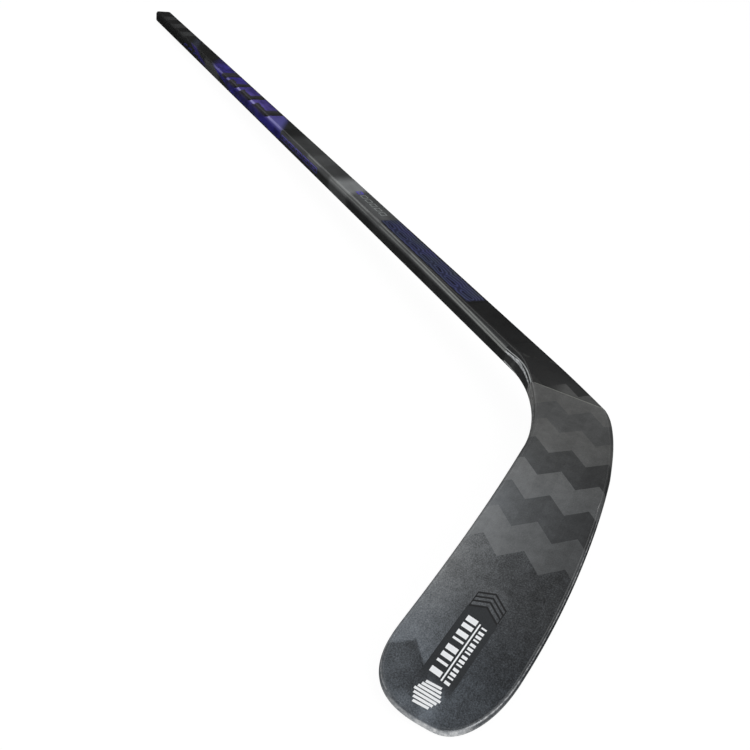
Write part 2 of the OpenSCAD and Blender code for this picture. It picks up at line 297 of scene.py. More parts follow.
def piece(name, shape, material, body, slot, *nodes):
    """Object from a mesh in mm; it rides on a body and stands for CAD nodes."""
    mesh = bpy.data.meshes.new(name)
    mesh.from_pydata([tuple(MM * c for c in p) for p in shape[0]], [], shape[1])
    work = bmesh.new()
    work.from_mesh(mesh)
    bmesh.ops.remove_doubles(work, verts=work.verts, dist=WELD)
    bmesh.ops.dissolve_degenerate(work, edges=work.edges, dist=WELD)
    bmesh.ops.recalc_face_normals(work, faces=work.faces)
    work.to_mesh(mesh)
    work.free()
    mesh.shade_smooth()
    mesh.set_sharp_from_angle(angle=SHARP)
    mesh.materials.append(material)
    obj = bpy.data.objects.new(name, mesh)
    bpy.context.scene.collection.objects.link(obj)
    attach(obj, body)
    if nodes:
        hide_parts(*nodes)


def spread(low, high, count):
    """Evenly spaced numbers, both ends included."""
    return [float(v) for v in np.linspace(low, high, count)]


def rounded_outline(low, high, half, radius):
    """Rounded rectangle as (across, height) pairs, from low to high across."""
    points = []
    corners = ((high - radius, half - radius, 0), (low + radius, half - radius, 90),
               (low + radius, radius - half, 180), (high - radius, radius - half, 270))
    for index, (u, v, start) in enumerate(corners):
        arc = [math.radians(start + 90 * k / ARC) for k in range(ARC + 1)]
        points += [(u + radius * math.cos(a), v + radius * math.sin(a)) for a in arc]
        after = corners[(index + 1) % 4]
        turn = math.radians(start + 90)
        end = (after[0] + radius * math.cos(turn), after[1] + radius * math.sin(turn))
        flats = FLAT_WIDE if index % 2 == 0 else FLAT_THIN
        first = points[-1]
        points += [(first[0] + (end[0] - first[0]) * q, first[1] + (end[1] - first[1]) * q)
                   for q in spread(0, 1, flats + 1)[1:-1]]
    return points


def shaft_ring(t, inset, radius):
    """Rounded section of the shaft at t, moved in by inset."""
    outline = rounded_outline(inset - WIDE / 2, WIDE / 2 - inset, THICK / 2 - inset, radius)
    return [(t - LENGTH, u, v) for u, v in outline]


def hosel_ring(s, wall):
    """Rounded section of station s, moved in by a wall."""
    low, high = edge_point(s, 0, wall), edge_point(s, 1, wall)
    size = float(np.linalg.norm(high - low))
    step = (high - low) / size
    outline = rounded_outline(0, size, thick(s) / 2 - wall, max(corner(s) - wall, 1))
    return [place(low + u * step, v) for u, v in outline]


def face_ring(s, sign):
    """Skin of one face at station s."""
    low = edge_point(s, 0, rim_width(s) + BOND)
    high = edge_point(s, 1, rim_width(s) + BOND)
    outside, inside = sign * thick(s) / 2, sign * (thick(s) / 2 - SKIN)
    shares = spread(0, 1, FACE_STEPS)
    ring = [place(low + q * (high - low), outside) for q in shares]
    return ring + [place(low + q * (high - low), inside) for q in shares[::-1]]


def rim_ring(s, side):
    """Rim section at station s: flat inside, rounded outside."""
    p, q = edge_point(s, side, 0), edge_point(s, side, rim_width(s))
    u = (p - q) / np.linalg.norm(p - q)
    r, h = corner(s), thick(s) / 2
    ring = [place(q, -h), place(q, 0), place(q, h)]
    for k in range(ARC + 1):
        a = math.radians(90 * k / ARC)
        ring.append(place(p - r * (1 - math.sin(a)) * u, h - r + r * math.cos(a)))
    ring.append(place(p, 0))
    for k in range(ARC + 1):
        a = math.radians(90 * k / ARC)
        ring.append(place(p - r * (1 - math.cos(a)) * u, -h + r - r * math.sin(a)))
    return ring


# ---------------------------------------------------------------- node materials


def tone(red, green, blue):
    """Linear colour from screen values of 0 to 255."""
    parts = [v / 255 for v in (red, green, blue)]
    return tuple(v / 12.92 if v <= 0.04045 else ((v + 0.055) / 1.055) ** 2.4 for v in parts) + (1.0,)


class Value:
    """A shader socket that takes arithmetic."""

    def __init__(self, paint, socket):
        self.paint = paint
        self.socket = socket

    def op(self, kind, *others):
        return self.paint.math(kind, self, *others)

    def __add__(self, other):
        return self.op("ADD", other)

    __radd__ = __add__

    def __sub__(self, other):
        return self.op("SUBTRACT", other)

    def __rsub__(self, other):
        return self.paint.math("SUBTRACT", other, self)

    def __mul__(self, other):
        return self.op("MULTIPLY", other)

    __rmul__ = __mul__

    def __truediv__(self, other):
        return self.op("DIVIDE", other)

    def rise(self, low, high):
        """Smooth step from 0 at low to 1 at high."""
        return self.paint.node("MapRange", 0, {"Value": self, "From Min": low, "From Max": high},
                               interpolation_type="SMOOTHSTEP")

    def clamp(self, low, high):
        return self.op("MAXIMUM", low).op("MINIMUM", high)

    def within(self, low, high, soft):
        """1 between low and high, fading over soft on each side."""
        return self.rise(low - soft, low + soft) * (1 - self.rise(high - soft, high + soft))


class Paint:
    """One node material. Places are in mm: t runs up the shaft from the heel, girth goes across the wide face
    and on down the inner edge, and bx and bz run along the blade and up from the ice."""

    def __init__(self, name):
        self.material = bpy.data.materials.new(name)
        self.material.use_nodes = True
        self.tree = self.material.node_tree
        self.shader = self.tree.nodes["Principled BSDF"]
        coords = self.tree.nodes.new("ShaderNodeTexCoord")
        facing = self.tree.nodes.new("ShaderNodeSeparateXYZ")
        self.tree.links.new(coords.outputs["Normal"], facing.inputs[0])
        self.side = 1 - Value(self, facing.outputs[2]).op("ABSOLUTE")
        self.inner = Value(self, facing.outputs[1])
        split = self.tree.nodes.new("ShaderNodeSeparateXYZ")
        self.tree.links.new(coords.outputs["Object"], split.inputs[0])
        x, self.y, self.z = [Value(self, split.outputs[k]) * 1000 for k in range(3)]
        self.t = x + LENGTH
        self.girth = self.y + THICK / 2 - self.z
        out = self.y + WIDE / 2
        self.bx = self.t * float(UP[0]) + out * float(ACROSS[0])
        self.bz = self.t * float(UP[1]) + out * float(ACROSS[1]) + float(HEEL[1])

    def feed(self, socket, value):
        if isinstance(value, Value):
            self.tree.links.new(value.socket, socket)
        else:
            socket.default_value = value

    def node(self, kind, out, inputs, **settings):
        made = self.tree.nodes.new("ShaderNode" + kind)
        for key, value in settings.items():
            setattr(made, key, value)
        for key, value in inputs.items():
            self.feed(made.inputs[key], value)
        return Value(self, made.outputs[out])

    def math(self, kind, *values):
        return self.node("Math", 0, dict(enumerate(values)), operation=kind)

    def vector(self, x, y, z):
        return self.node("CombineXYZ", 0, {0: x, 1: y, 2: z})

    def noise(self, vector, scale, detail=2.0, rough=0.5):
        inputs = {"Vector": vector, "Scale": scale, "Detail": detail, "Roughness": rough}
        return self.node("TexNoise", 0, inputs)

    def shaft_noise(self, scale, detail=2.0, rough=0.5):
        return self.noise(self.vector(self.t, self.y, self.z), scale, detail, rough)

    def blade_noise(self, scale, detail=2.0, rough=0.5):
        return self.noise(self.vector(self.bx, self.bz, self.z), scale, detail, rough)

    def mix(self, share, first, second):
        made = self.tree.nodes.new("ShaderNodeMix")
        made.data_type = "RGBA"
        self.feed(made.inputs[0], share)
        self.feed(made.inputs[6], first)
        self.feed(made.inputs[7], second)
        return Value(self, made.outputs[2])

    def blend(self, share, first, second):
        return self.node("Mix", 0, {0: share, 2: first, 3: second})

    def bump(self, height, distance):
        """Bump from a height that runs from 0 to 1; distance is in mm."""
        return self.node("Bump", 0, {"Height": height, "Strength": 1.0, "Distance": distance * MM})

    def finish(self, **inputs):
        for key, value in inputs.items():
            self.feed(self.shader.inputs[key.replace("_", " ")], value)
        return self.material


def spots(p, size):
    """Fine random flecks of a size in mm, from 0 to 1."""
    return p.blade_noise(1 / size, 3.0, 0.7)


def scratches(p):
    """Thin rubbed lines, from 0 to 1."""
    lines = p.noise(p.vector(p.bx * 0.05 + p.bz * 0.02, p.bz * 1.6 - p.bx * 0.5, p.z), 1.0, 3.0, 0.6)
    patch = p.blade_noise(0.03)
    return lines.rise(0.68, 0.74) * patch.rise(0.5, 0.65)


ZIG = 6.8
ZIG_HALF = 13.75
ZIG_START = 8.75
PLY = 28.9
PLY_START = 5.0
PLIES = 6

LABEL_HEEL = np.array([208.0, 39.0])
LABEL_TOE = np.array([298.0, 52.5])
LABEL_HALF = 10.5
LABEL_LONG = float(np.linalg.norm(LABEL_TOE - LABEL_HEEL))
LABEL_DIR = (LABEL_TOE - LABEL_HEEL) / LABEL_LONG
LABEL_UP = np.array([-LABEL_DIR[1], LABEL_DIR[0]])


def ply_level(p):
    """Screen level of the plies, how far x has shifted along them, and where the smoky toe half begins."""
    fold = (p.bz - ZIG_START).op("PINGPONG", ZIG_HALF) * (2 / ZIG_HALF) - 1
    shifted = p.bx - ZIG * fold
    light = ((shifted - PLY_START) / PLY).op("FLOOR").op("FLOORED_MODULO", 2.0)
    facet = ((p.bz - ZIG_START) / ZIG_HALF).op("FLOOR").op("FLOORED_MODULO", 2.0)
    climb = (p.bz - 36) * ((p.bx / 165.0).clamp(0.0, 1.0) * 0.67 + 0.08)
    crest = p.bz.rise(54, 72) * p.bx.rise(40, 130)
    pale = 92 + p.bx.rise(62, 75) * 6 - p.bx.rise(135, 150) * 5 + climb.op("MINIMUM", 30.0) + crest * 4
    dark = 82 - p.bx.rise(35, 60) * 14 + p.bx.rise(110, 130) * 7 + climb * 1.2 + crest * 12
    past = shifted.rise(PLY_START + PLIES * PLY - 0.4, PLY_START + PLIES * PLY + 0.4)
    return p.blend(light, dark, pale) + facet * 3 - 1.5, shifted, past, light


def smoke_level(p):
    """Screen level of the cloudy toe half: paler to the top, with a dark patch at the tip."""
    cloud = p.noise(p.vector(p.bx, p.bz, 0.0), 0.03, 3.0, 0.55)
    high = ((p.bz - 10 + (cloud - 0.5) * 26) / 65.0).clamp(0.0, 1.0).op("POWER", 1.5)
    tip = p.bx.rise(262, 290) * 8 + p.bx.rise(290, 303) * p.bz.within(44, 70, 8) * 30
    fleck = p.noise(p.vector(p.bx, p.bz, 0.0), 0.7, 3.0, 0.7)
    above = (p.bz - 70).op("MAXIMUM", 0.0)
    below = (70 - p.bz).op("MAXIMUM", 0.0)
    patch = (p.bx - above * 0.76 - below * 1.2 + (fleck - 0.5) * 5).rise(264, 266.4) * p.bz.rise(46, 56)
    return 52 + high * 61 + tip - patch * 38, high


def carbon_level(p):
    """Screen level of the blade's carbon with its grit and painted glints, the share of cool tint, and the
    grit.
    """
    ply, shifted, past, light = ply_level(p)
    haze, high = smoke_level(p)
    grit = spots(p, 0.9)
    mottle = p.blade_noise(0.14, 3.0, 0.6)
    level = p.blend(past, ply, haze) + (grit - 0.5) * (past * 84 + 40) + (mottle - 0.5) * (past * 14 + 24)
    # Painted glints: bright specks on the smoky toe half.
    painted_glints = p.blade_noise(1.3, 2.0, 0.8).rise(0.66, 0.76) * past
    ply_cool = (1 - light) * 0.12 + p.bx.rise(20, 150) * 0.25 + 0.12
    cool = p.blend(past, ply_cool, p.bx.rise(200, 290) * 0.5 + 0.6 - high * 0.25)
    return level + scratches(p) * 9 + painted_glints * 34, cool, grit, shifted


def tinted(p, level, cool, gloss=0.003, gain=1.0):
    """Colour from a screen level; gloss is what reflections add and gain makes up for dim light."""
    grey = ((level.op("MAXIMUM", 6.0) / 255.0).op("POWER", 2.2) - gloss).op("MAXIMUM", 0.0012) * gain
    tint = p.mix(cool, (1.015, 1.01, 0.97, 1), (0.88, 1.01, 1.17, 1))
    return p.node("VectorMath", 0, {0: p.vector(grey, grey, grey), 1: tint}, operation="MULTIPLY")


def blade_carbon(name):
    """Blade faces: ply zigzag towards the heel and grey smoke towards the toe, hardly coated."""
    p = Paint(name)
    level, cool, grit, _ = carbon_level(p)
    rub_and_sheen = p.blade_noise(0.02, 4.0, 0.6)
    return p.finish(Base_Color=tinted(p, level, cool), Metallic=0.4, Specular_IOR_Level=0.25,
                    Roughness=grit * 0.2 + rub_and_sheen * 0.2 + 0.3, Coat_Weight=0.08, Coat_Roughness=0.3,
                    Normal=p.bump(grit, 0.05))


def edge_resin(name, highlight_share):
    """Clear-coated rim with painted silver highlights along its rounding, most of all under the toe, a
    painted highlight near the throat and painted shade on the rounding short of the toe.
    """
    p = Paint(name)
    level, cool, grit, _ = carbon_level(p)
    along = p.bx.rise(90, 150)
    tip = p.bx.rise(286, 298) * p.bz.rise(20, 30) * (1 - p.bz.rise(64, 78))
    mottled = p.blade_noise(0.5, 3.0, 0.6).rise(0.25, 0.7)
    # Painted highlight: pale silver lines along the rim's rounding, broad under the toe and thin elsewhere,
    # scaled by the material's highlight strength.
    broad = p.side.rise(0.25, 0.55) * tip * (1 - p.bz.rise(46, 60) * 0.45)
    outer = p.side.rise(0.72, 0.9) * (1 - tip) * 0.2
    inner = p.side.within(0.2, 0.34, 0.07) * (1 - tip) * (mottled * 0.3 + 0.2)
    pale = broad + (outer + inner + p.bx.rise(240, 285) * (1 - tip) * 0.12) * along
    pale = (pale * p.side.rise(0.04, 0.12) * highlight_share).op("MINIMUM", 1.0)
    highlight_silver = p.mix(mottled, tone(168, 173, 178), tone(250, 251, 252))
    throat = 1 - p.bx.rise(62, 84)
    # Painted shade darkens the rim's rounding short of the toe, least where the painted highlight is strong;
    # a painted highlight lightens the rounding near the throat.
    rim_shade = p.side.within(0.3, 0.85, 0.15) * (1 - p.bx.rise(150, 200)) * (1 - highlight_share) * (1 - throat)
    level = level - rim_shade * 34 + throat * p.side.rise(0.25, 0.5) * (mottled * 56 + 4)
    return p.finish(Base_Color=p.mix(pale, tinted(p, level, cool), highlight_silver), Metallic=0.25,
                    Roughness=mottled * 0.15 + 0.3, Coat_Weight=0.4, Coat_Roughness=0.2,
                    Normal=p.bump(grit, 0.03))


def lacquer(p, level, cool=0.3):
    """Grained lacquer over carbon, from a screen level: its colour, lifted by painted light, and its weave.
    """
    # Painted light: the colour's gain is raised to make up for dim light, most on faces turned to the inner
    # edge, and the lamps' reflection is taken off the colour elsewhere, more towards the butt.
    away = p.inner.rise(0.3, 0.8)
    gloss = (p.t.rise(700, 1200) * 0.008 + 0.005) * (1 - away)
    gain = away * 0.7 + 1.5
    weave = p.noise(p.vector(p.t * 0.35, p.y * 2.2 + p.z * 2.2, p.z), 1.0, 3.0, 0.6)
    cloud = p.shaft_noise(0.03, 2.0, 0.5)
    dust = p.shaft_noise(1.2, 2.0, 0.7)
    grain = (weave - 0.5) * 14 + (cloud - 0.5) * 16 + (dust - 0.5) * 12
    return tinted(p, level + grain, cool, gloss, gain), weave


def lacquered(p, colour, weave, rough, coat):
    """Finished material of a lacquered surface."""
    return p.finish(Base_Color=colour, Roughness=rough, Coat_Weight=coat, Coat_Roughness=0.15,
                    Specular_IOR_Level=0.25, Normal=p.bump(weave, 0.004))


def smoke_on_shaft(p):
    """Screen level of the shaft's lacquer: grey smoke on the wide face, slanted bands near the butt, and
    painted light on the inner edge next to the corner.
    """
    s = p.girth.op("MINIMUM", 16.0)
    slant = p.t + s
    top = (1 - p.girth.rise(15, 20)) * p.z.rise(-3, 5)
    grey = p.t.rise(400, 412) * 34 + (slant * 0.3 + p.t * 0.7).rise(490, 504) * 44
    grey = grey - p.t.rise(528, 560) * 52 + (p.t + s * 0.5).within(592, 632, 3) * 6
    grey = grey - p.t.rise(690, 728) * 22 + (s - 4).within(-5, 5, 4) * p.t.within(412, 495, 8) * 12
    wisps = p.noise(p.vector(slant * 0.3, p.y, 0.0), 0.1, 3.0, 0.6)
    bands = (p.t + s * 0.2 - 1309).op("FLOORED_MODULO", 69.0).within(3, 37, 4) * p.t.within(1300, 1486, 4)
    bands = bands * (1 - s.rise(5, 13) * 0.6)
    badge = p.t.within(1486, 1512, 1.5) * p.girth.within(-4.4, 11, 1.0)
    wide = 34 + (grey.clamp(0.0, 90.0) * (wisps * 0.5 + 0.75) + bands * 24 - badge * 16) * top
    dull = p.t.within(1062, 1150, 6) * 16 + p.t.within(498, 556, 6) * 18
    # Painted light: the inner edge is lighter next to the corner, less so towards the butt.
    painted_edge_light = (1 - p.girth.rise(19, 23.5)) * (25 - p.t.rise(850, 1060) * 20)
    edge = 31 - p.t.rise(1150, 1300) * 10 + dull + painted_edge_light
    return p.blend(p.girth.rise(12, 17) * p.inner.rise(0.1, 0.5), wide, edge)


def painted_corner_highlights(p):
    """Two painted highlight lines that drift round the corner towards the blade and break further up."""
    back = (430 - p.t).op("MAXIMUM", 0.0) / 300
    first = p.girth - 13.4 - back * back * 4.6
    second = first - 4.4 + back * 1.2
    breaks = p.t.within(324, 350, 5) * 0.3 + p.t.within(402, 438, 5) * 0.5 + p.t.within(556, 592, 5) * 0.8
    painted_ridge_highlight = 1 - first.op("ABSOLUTE").rise(0.3, 1.4)
    share = 0.8 - p.t.rise(240, 340) * 0.3 - p.t.rise(545, 560) * 0.25
    lower = (1 - second.op("ABSOLUTE").rise(0.4, 1.6)) * share
    between = first.rise(0.0, 1.0) * (1 - second.rise(0.0, 1.0)) * 0.2
    lines = (painted_ridge_highlight + lower + between).op("MINIMUM", 1.0) * (0.88 - p.t.rise(320, 430) * 0.26)
    return lines * (1 - breaks) * (1 - p.t.rise(632, 640)) * p.inner.rise(0.1, 0.3)


def shaft_paint(p):
    """Colour of the unprinted shaft and its weave."""
    colour, weave = lacquer(p, smoke_on_shaft(p))
    streak = (p.t + p.girth * 2.5).within(1248, 1276, 16) * p.girth.within(-8, 17, 4) * p.z.rise(-3, 5)
    colour = p.mix(streak * 0.42, colour, tone(74, 80, 104))
    slant = p.t + (p.girth - 14) * 5
    stain = slant.within(1206, 1244, 8) * p.girth.within(10, 27, 2) * p.inner.rise(0.05, 0.3)
    colour = p.mix(stain * 0.8, colour, tone(48, 36, 118))
    tail = (1 - (p.t + p.girth * 1.6).rise(1098, 1140)) * p.t.rise(1120, 1122) * p.z.rise(-3, 5)
    colour = p.mix(tail, colour, tone(42, 32, 104))
    return colour, weave


def shaft_coat(name):
    """Shaft: near-black lacquer with smoke, and painted highlight lines on one corner."""
    p = Paint(name)
    colour, weave = shaft_paint(p)
    wear_and_sheen = p.shaft_noise(0.1, 4.0, 0.7)
    # Painted highlight: pale lines on the corner, made patchy by the noise that also sets the roughness.
    colour = p.mix(painted_corner_highlights(p) * (wear_and_sheen * 0.5 + 0.6), colour, tone(158, 161, 158))
    return lacquered(p, colour, weave, wear_and_sheen * 0.2 + 0.26, 0.25)


def hosel_coat(name):
    """Hosel: the plies show faintly under black lacquer, close to the seam, the throat has faint rubbed
    marks, and painted highlights lie on the throat's inner corner and cheek.
    """
    p = Paint(name)
    black, weave = lacquer(p, 36 + p.girth.rise(17, 30) * 2)
    level, cool, _, shifted = carbon_level(p)
    under = shifted.rise(PLY_START - PLY - 0.5, PLY_START - PLY + 0.5)
    faint = 1 - p.bz.rise(60, 72) * 0.85
    colour = p.mix(under * faint, black, tinted(p, level * 0.82, cool))
    rubbed = (p.t - p.y * 0.8).within(96, 104, 3) * p.shaft_noise(0.15).rise(0.5, 0.6)
    colour = p.mix(rubbed * 0.25, colour, tone(90, 92, 90))
    rub_and_sheen = p.noise(p.vector(p.t * 0.5, p.y * 0.5, p.z), 0.45, 4.0, 0.7).rise(0.4, 0.62)
    inner = p.inner.rise(0.1, 0.3)
    wide = 1 - p.t.rise(80, 125)
    # Painted highlight on the rounded corner that faces the inner edge.
    painted_ridge_highlight = (p.side - (1 - wide) * 0.52).within(0.22, 0.38, 0.05) * inner
    # Painted highlight, mottled like rubbed wear, on the inner cheek near the throat.
    rubbed_cheek_highlight = (p.z - wide * 1.2).rise(1.5, 2.9) * (1 - (p.z - wide * 4.2).rise(3.9, 4.4))
    rubbed_cheek_highlight = rubbed_cheek_highlight * p.side.rise(0.6, 0.8) * inner * (rub_and_sheen * 0.55 + 0.35)
    colour = p.mix(painted_ridge_highlight * (rub_and_sheen * 0.2 + 0.8), colour, tone(190, 194, 194))
    colour = p.mix(rubbed_cheek_highlight, colour, tone(220, 224, 226))
    return lacquered(p, colour, weave, 0.32, 0.25)


def tile_share(p):
    """Place within the violet tiles, from 0 at the blade's side of each, and the tile's number."""
    lean = p.t - 806 - (p.girth - 14.4).op("MAXIMUM", 0.0) * 2.6
    count = (89.4 - (7992.4 - lean * 25.2).op("MAXIMUM", 1.0).op("SQRT")) / 12.6
    return count - count.op("FLOOR"), count


def violet_print(name):
    """Fade print: violet tiles between dark bars that spread along the corner, black at both ends."""
    p = Paint(name)
    black, weave = shaft_paint(p)
    s = p.girth
    low = s.rise(15, 21)
    share, count = tile_share(p)
    wave = p.noise(p.vector(p.t, p.y, 0.0), 0.05, 2.0)
    bars = share + (wave - 0.5) * 0.12
    blob = (1 - (bars + s * 0.006).rise(0.8, 0.88)) * (s + (wave - 0.5) * 7 + share * 3).rise(6.5, 9)
    dark = (1 - bars.rise(0.24, 0.36)).op("MAXIMUM", blob) * count.within(0, 3, 0.01)
    last = p.t.within(1018, 1046, 4)
    dark = dark.op("MAXIMUM", last * (1 - s.rise(17, 20) * 0.6)) * (1 - low * 0.75)
    near = (p.t + s.op("MINIMUM", 14.0) * 1.96).rise(756, 782)
    slope = (p.t + s.op("MINIMUM", 14.0) * 1.6).rise(1098, 1140)
    flare = (p.t + (s - 13).op("MAXIMUM", 0.0) * 6.8).rise(1102, 1116) * s.rise(12, 14)
    fade = near * (1 - slope.op("MAXIMUM", flare))
    shimmer = p.noise(p.vector(p.t * 0.4, p.y, p.z), 0.09, 3.0, 0.6).rise(0.3, 0.7)
    deep = p.mix(shimmer, tone(38, 29, 104), tone(60, 48, 150))
    deep = p.mix(p.t.rise(1085, 1130), deep, tone(38, 28, 90))
    pale = p.mix(shimmer, tone(58, 46, 118), tone(90, 76, 156))
    pale = p.mix(1 - p.t.rise(770, 830), pale, tone(88, 86, 158))
    violet = p.mix(1 - p.t.rise(880, 1030), deep, pale)
    violet = p.mix(low, violet, p.mix(shimmer, tone(22, 18, 78), tone(40, 34, 128)))
    # Painted highlight: pale lavender along the corner over the tiles.
    crest = s.within(11.6, 15.4, 1.0) * (p.t.rise(760, 830) * 0.5 + 0.4 - p.t.rise(900, 1060) * 0.5)
    violet = p.mix(crest, violet, tone(172, 168, 232))
    violet = p.mix(s.within(3, 11, 2.5) * p.t.within(800, 950, 20) * 0.3, violet, tone(120, 104, 208))
    grain = p.shaft_noise(0.25, 3.0, 0.6).rise(0.3, 0.7)
    smoke = p.mix(grain * 0.5 + bars.rise(0.0, 0.3) * 0.5, tone(12, 12, 15), tone(62, 60, 64))
    return lacquered(p, p.mix(fade, black, p.mix(dark, violet, smoke)), weave, 0.36, 0.2)


def line_print(name):
    """Nested outlines round short slots, in navy on slate."""
    p = Paint(name)
    black, weave = shaft_paint(p)
    wander = p.noise(p.vector(p.t, p.y, 0.0), 0.04, 2.0)
    along = (p.t + (wander - 0.5) * 14 - 208.7).op("FLOORED_MODULO", 28.7) - 14.35
    half = (along.op("ABSOLUTE") - 6.5).op("MAXIMUM", 0.0) / 7.0
    depth = (p.y - 3.4 + (wander - 0.5) * 7).op("ABSOLUTE") / 3.3
    away = (half * half + depth * depth).op("SQRT")
    line = 1 - away.op("FLOORED_MODULO", 1.0).within(0.26, 0.74, 0.12)
    slot = 1 - away.rise(0.25, 0.45)
    reach = p.t.within(209, 410, 2.5)
    tint = p.noise(p.vector(p.t, p.y, 0.0), 0.035, 2.0)
    slate = p.mix(tint.rise(0.35, 0.65), tone(70, 77, 88), tone(68, 68, 112))
    slate = p.mix(p.y.rise(-8, 2) * 0.5, slate, tone(58, 66, 104))
    print_tone = p.mix((line * 0.75 + slot).op("MINIMUM", 1.0), slate, tone(16, 17, 40))
    return lacquered(p, p.mix(reach, black, print_tone), weave, 0.36, 0.2)


def ink(name, dark, light, rough=0.4, fade=0.0):
    """Printed ink with a little mottling; fade darkens it down the inner edge."""
    p = Paint(name)
    grain = p.shaft_noise(0.9, 4.0, 0.7)
    cloud = p.shaft_noise(0.06, 2.0, 0.5)
    colour = p.mix(grain * 0.5 + cloud * 0.5, dark, light)
    colour = p.mix(p.girth.rise(21, 25) * fade, colour, tone(34, 32, 70))
    return p.finish(Base_Color=colour, Roughness=grain * 0.2 + rough, Coat_Weight=0.1,
                    Specular_IOR_Level=0.2, Normal=p.bump(grain, 0.01))


def label_coat(name):
    """Label: clear over the chevrons, dark behind the bars, and clear again towards the tip."""
    p = Paint(name)
    level, cool, grit, _ = carbon_level(p)
    x, z = p.bx - float(LABEL_HEEL[0]), p.bz - float(LABEL_HEEL[1])
    along = x * float(LABEL_DIR[0]) + z * float(LABEL_DIR[1])
    across = z * float(LABEL_DIR[0]) - x * float(LABEL_DIR[1])
    dark = (along - (across - 0.6).op("ABSOLUTE") * 0.6).rise(15.5, 17) * (1 - along.rise(70, 84))
    level = p.blend(dark, level + 5 - along.rise(20, 30) * 8, 45 + (grit - 0.5) * 30)
    cool = p.blend(dark, cool, 1.0)
    return p.finish(Base_Color=tinted(p, level, cool), Metallic=0.3, Specular_IOR_Level=0.25,
                    Roughness=grit * 0.15 + 0.35, Coat_Weight=0.08, Coat_Roughness=0.3,
                    Normal=p.bump(grit, 0.04))


def foam(name, dark, light):
    """Closed-cell foam."""
    p = Paint(name)
    pores = p.node("TexVoronoi", "Distance", {"Vector": p.vector(p.t, p.y, p.z), "Scale": 0.9})
    cloud = p.shaft_noise(0.08, 3.0)
    return p.finish(Base_Color=p.mix(pores * 0.6 + cloud * 0.4, dark, light), Roughness=0.85,
                    Normal=p.bump(pores, 0.3))


def woven(name, dark, light, rough):
    """Crossed tows, about 2 mm wide."""
    p = Paint(name)
    one = ((p.t + p.y + p.z) / 2.0).op("SINE")
    two = ((p.t - p.y - p.z) / 2.0).op("SINE")
    weave = (one * two * 0.5) + 0.5
    fibre = p.shaft_noise(3.0, 3.0)
    return p.finish(Base_Color=p.mix(weave * 0.7 + fibre * 0.3, dark, light), Roughness=rough,
                    Coat_Weight=0.2, Normal=p.bump(weave, 0.08))


def moulded(name, dark, light, rough):
    """Moulded plastic or rubber with a fine grain."""
    p = Paint(name)
    grain = p.shaft_noise(1.6, 4.0, 0.65)
    cloud = p.shaft_noise(0.09, 2.0)
    return p.finish(Base_Color=p.mix(cloud * 0.6 + grain * 0.4, dark, light), Roughness=grain * 0.2 + rough,
                    Normal=p.bump(grain, 0.05))


# ---------------------------------------------------------------- pieces


def build_shaft():
    """Hollow tube with its square butt edge just broken."""
    end = LENGTH - PLUG_CAP - BOND
    places = [TUBE_START + BOND] + spread(150, 1495, 28) + [end - EDGE_BREAK]
    outer = [shaft_ring(t, 0, CORNER) for t in places] + [shaft_ring(end, EDGE_BREAK, CORNER - EDGE_BREAK)]
    inner = [shaft_ring(t, WALL, CORNER - WALL) for t in places + [end]]
    coat = shaft_coat("shaft_coat")
    piece("shaft_shell", sleeve(outer, inner), coat, "stick", "tube_carbon", "shaft_tube")


def build_plug():
    """Butt plug: a recessed end, a broken edge and a ribbed hollow spigot."""
    under = LENGTH - PLUG_CAP
    tip = under - PLUG_SPIGOT
    fit, fit_corner = WALL + PLUG_GAP, CORNER - WALL - PLUG_GAP
    root, root_corner = fit + RIB_DEPTH, fit_corner - RIB_DEPTH
    rings = [shaft_ring(LENGTH - depth, inset, radius) for depth, inset, radius in PLUG_FACE]
    rings += [shaft_ring(under, 0, CORNER), shaft_ring(under, root, root_corner)]
    for start in spread(under - 5, tip + 10, 4):
        rings += [shaft_ring(start, root, root_corner), shaft_ring(start - 1, fit, fit_corner)]
        rings += [shaft_ring(start - 3, fit, fit_corner), shaft_ring(start - 4, root, root_corner)]
    rings += [shaft_ring(tip + 1, root, root_corner), shaft_ring(tip, fit + 1.1, 1.2)]
    rings += [shaft_ring(tip, fit + 2.2, 0.9), shaft_ring(under, fit + 2.2, 0.9)]
    black = moulded("plug_black", tone(16, 17, 17), tone(34, 35, 36), 0.5)
    piece("plug_cap", loft(rings), black, "plug", "plug_plastic", "end_plug")


def build_hosel():
    """Hosel shell, from the tube's end to the seam."""
    places = spread(0, FIRST_FAN, 4)[:-1] + spread(FIRST_FAN, SEAM, 43)
    outer = [hosel_ring(s, 0) for s in places]
    inner = [hosel_ring(s, WRAP) for s in places]
    coat = hosel_coat("hosel_coat")
    piece("hosel_shell", sleeve(outer, inner), coat, "stick", "hosel_carbon", "hosel_wrap")


def shift(ring, steps):
    """Moves a ring some bond lines towards the toe."""
    dx, dy = steps * BOND * float(UP[0]), steps * BOND * float(ACROSS[0])
    return [(x + dx, y + dy, z) for x, y, z in ring]


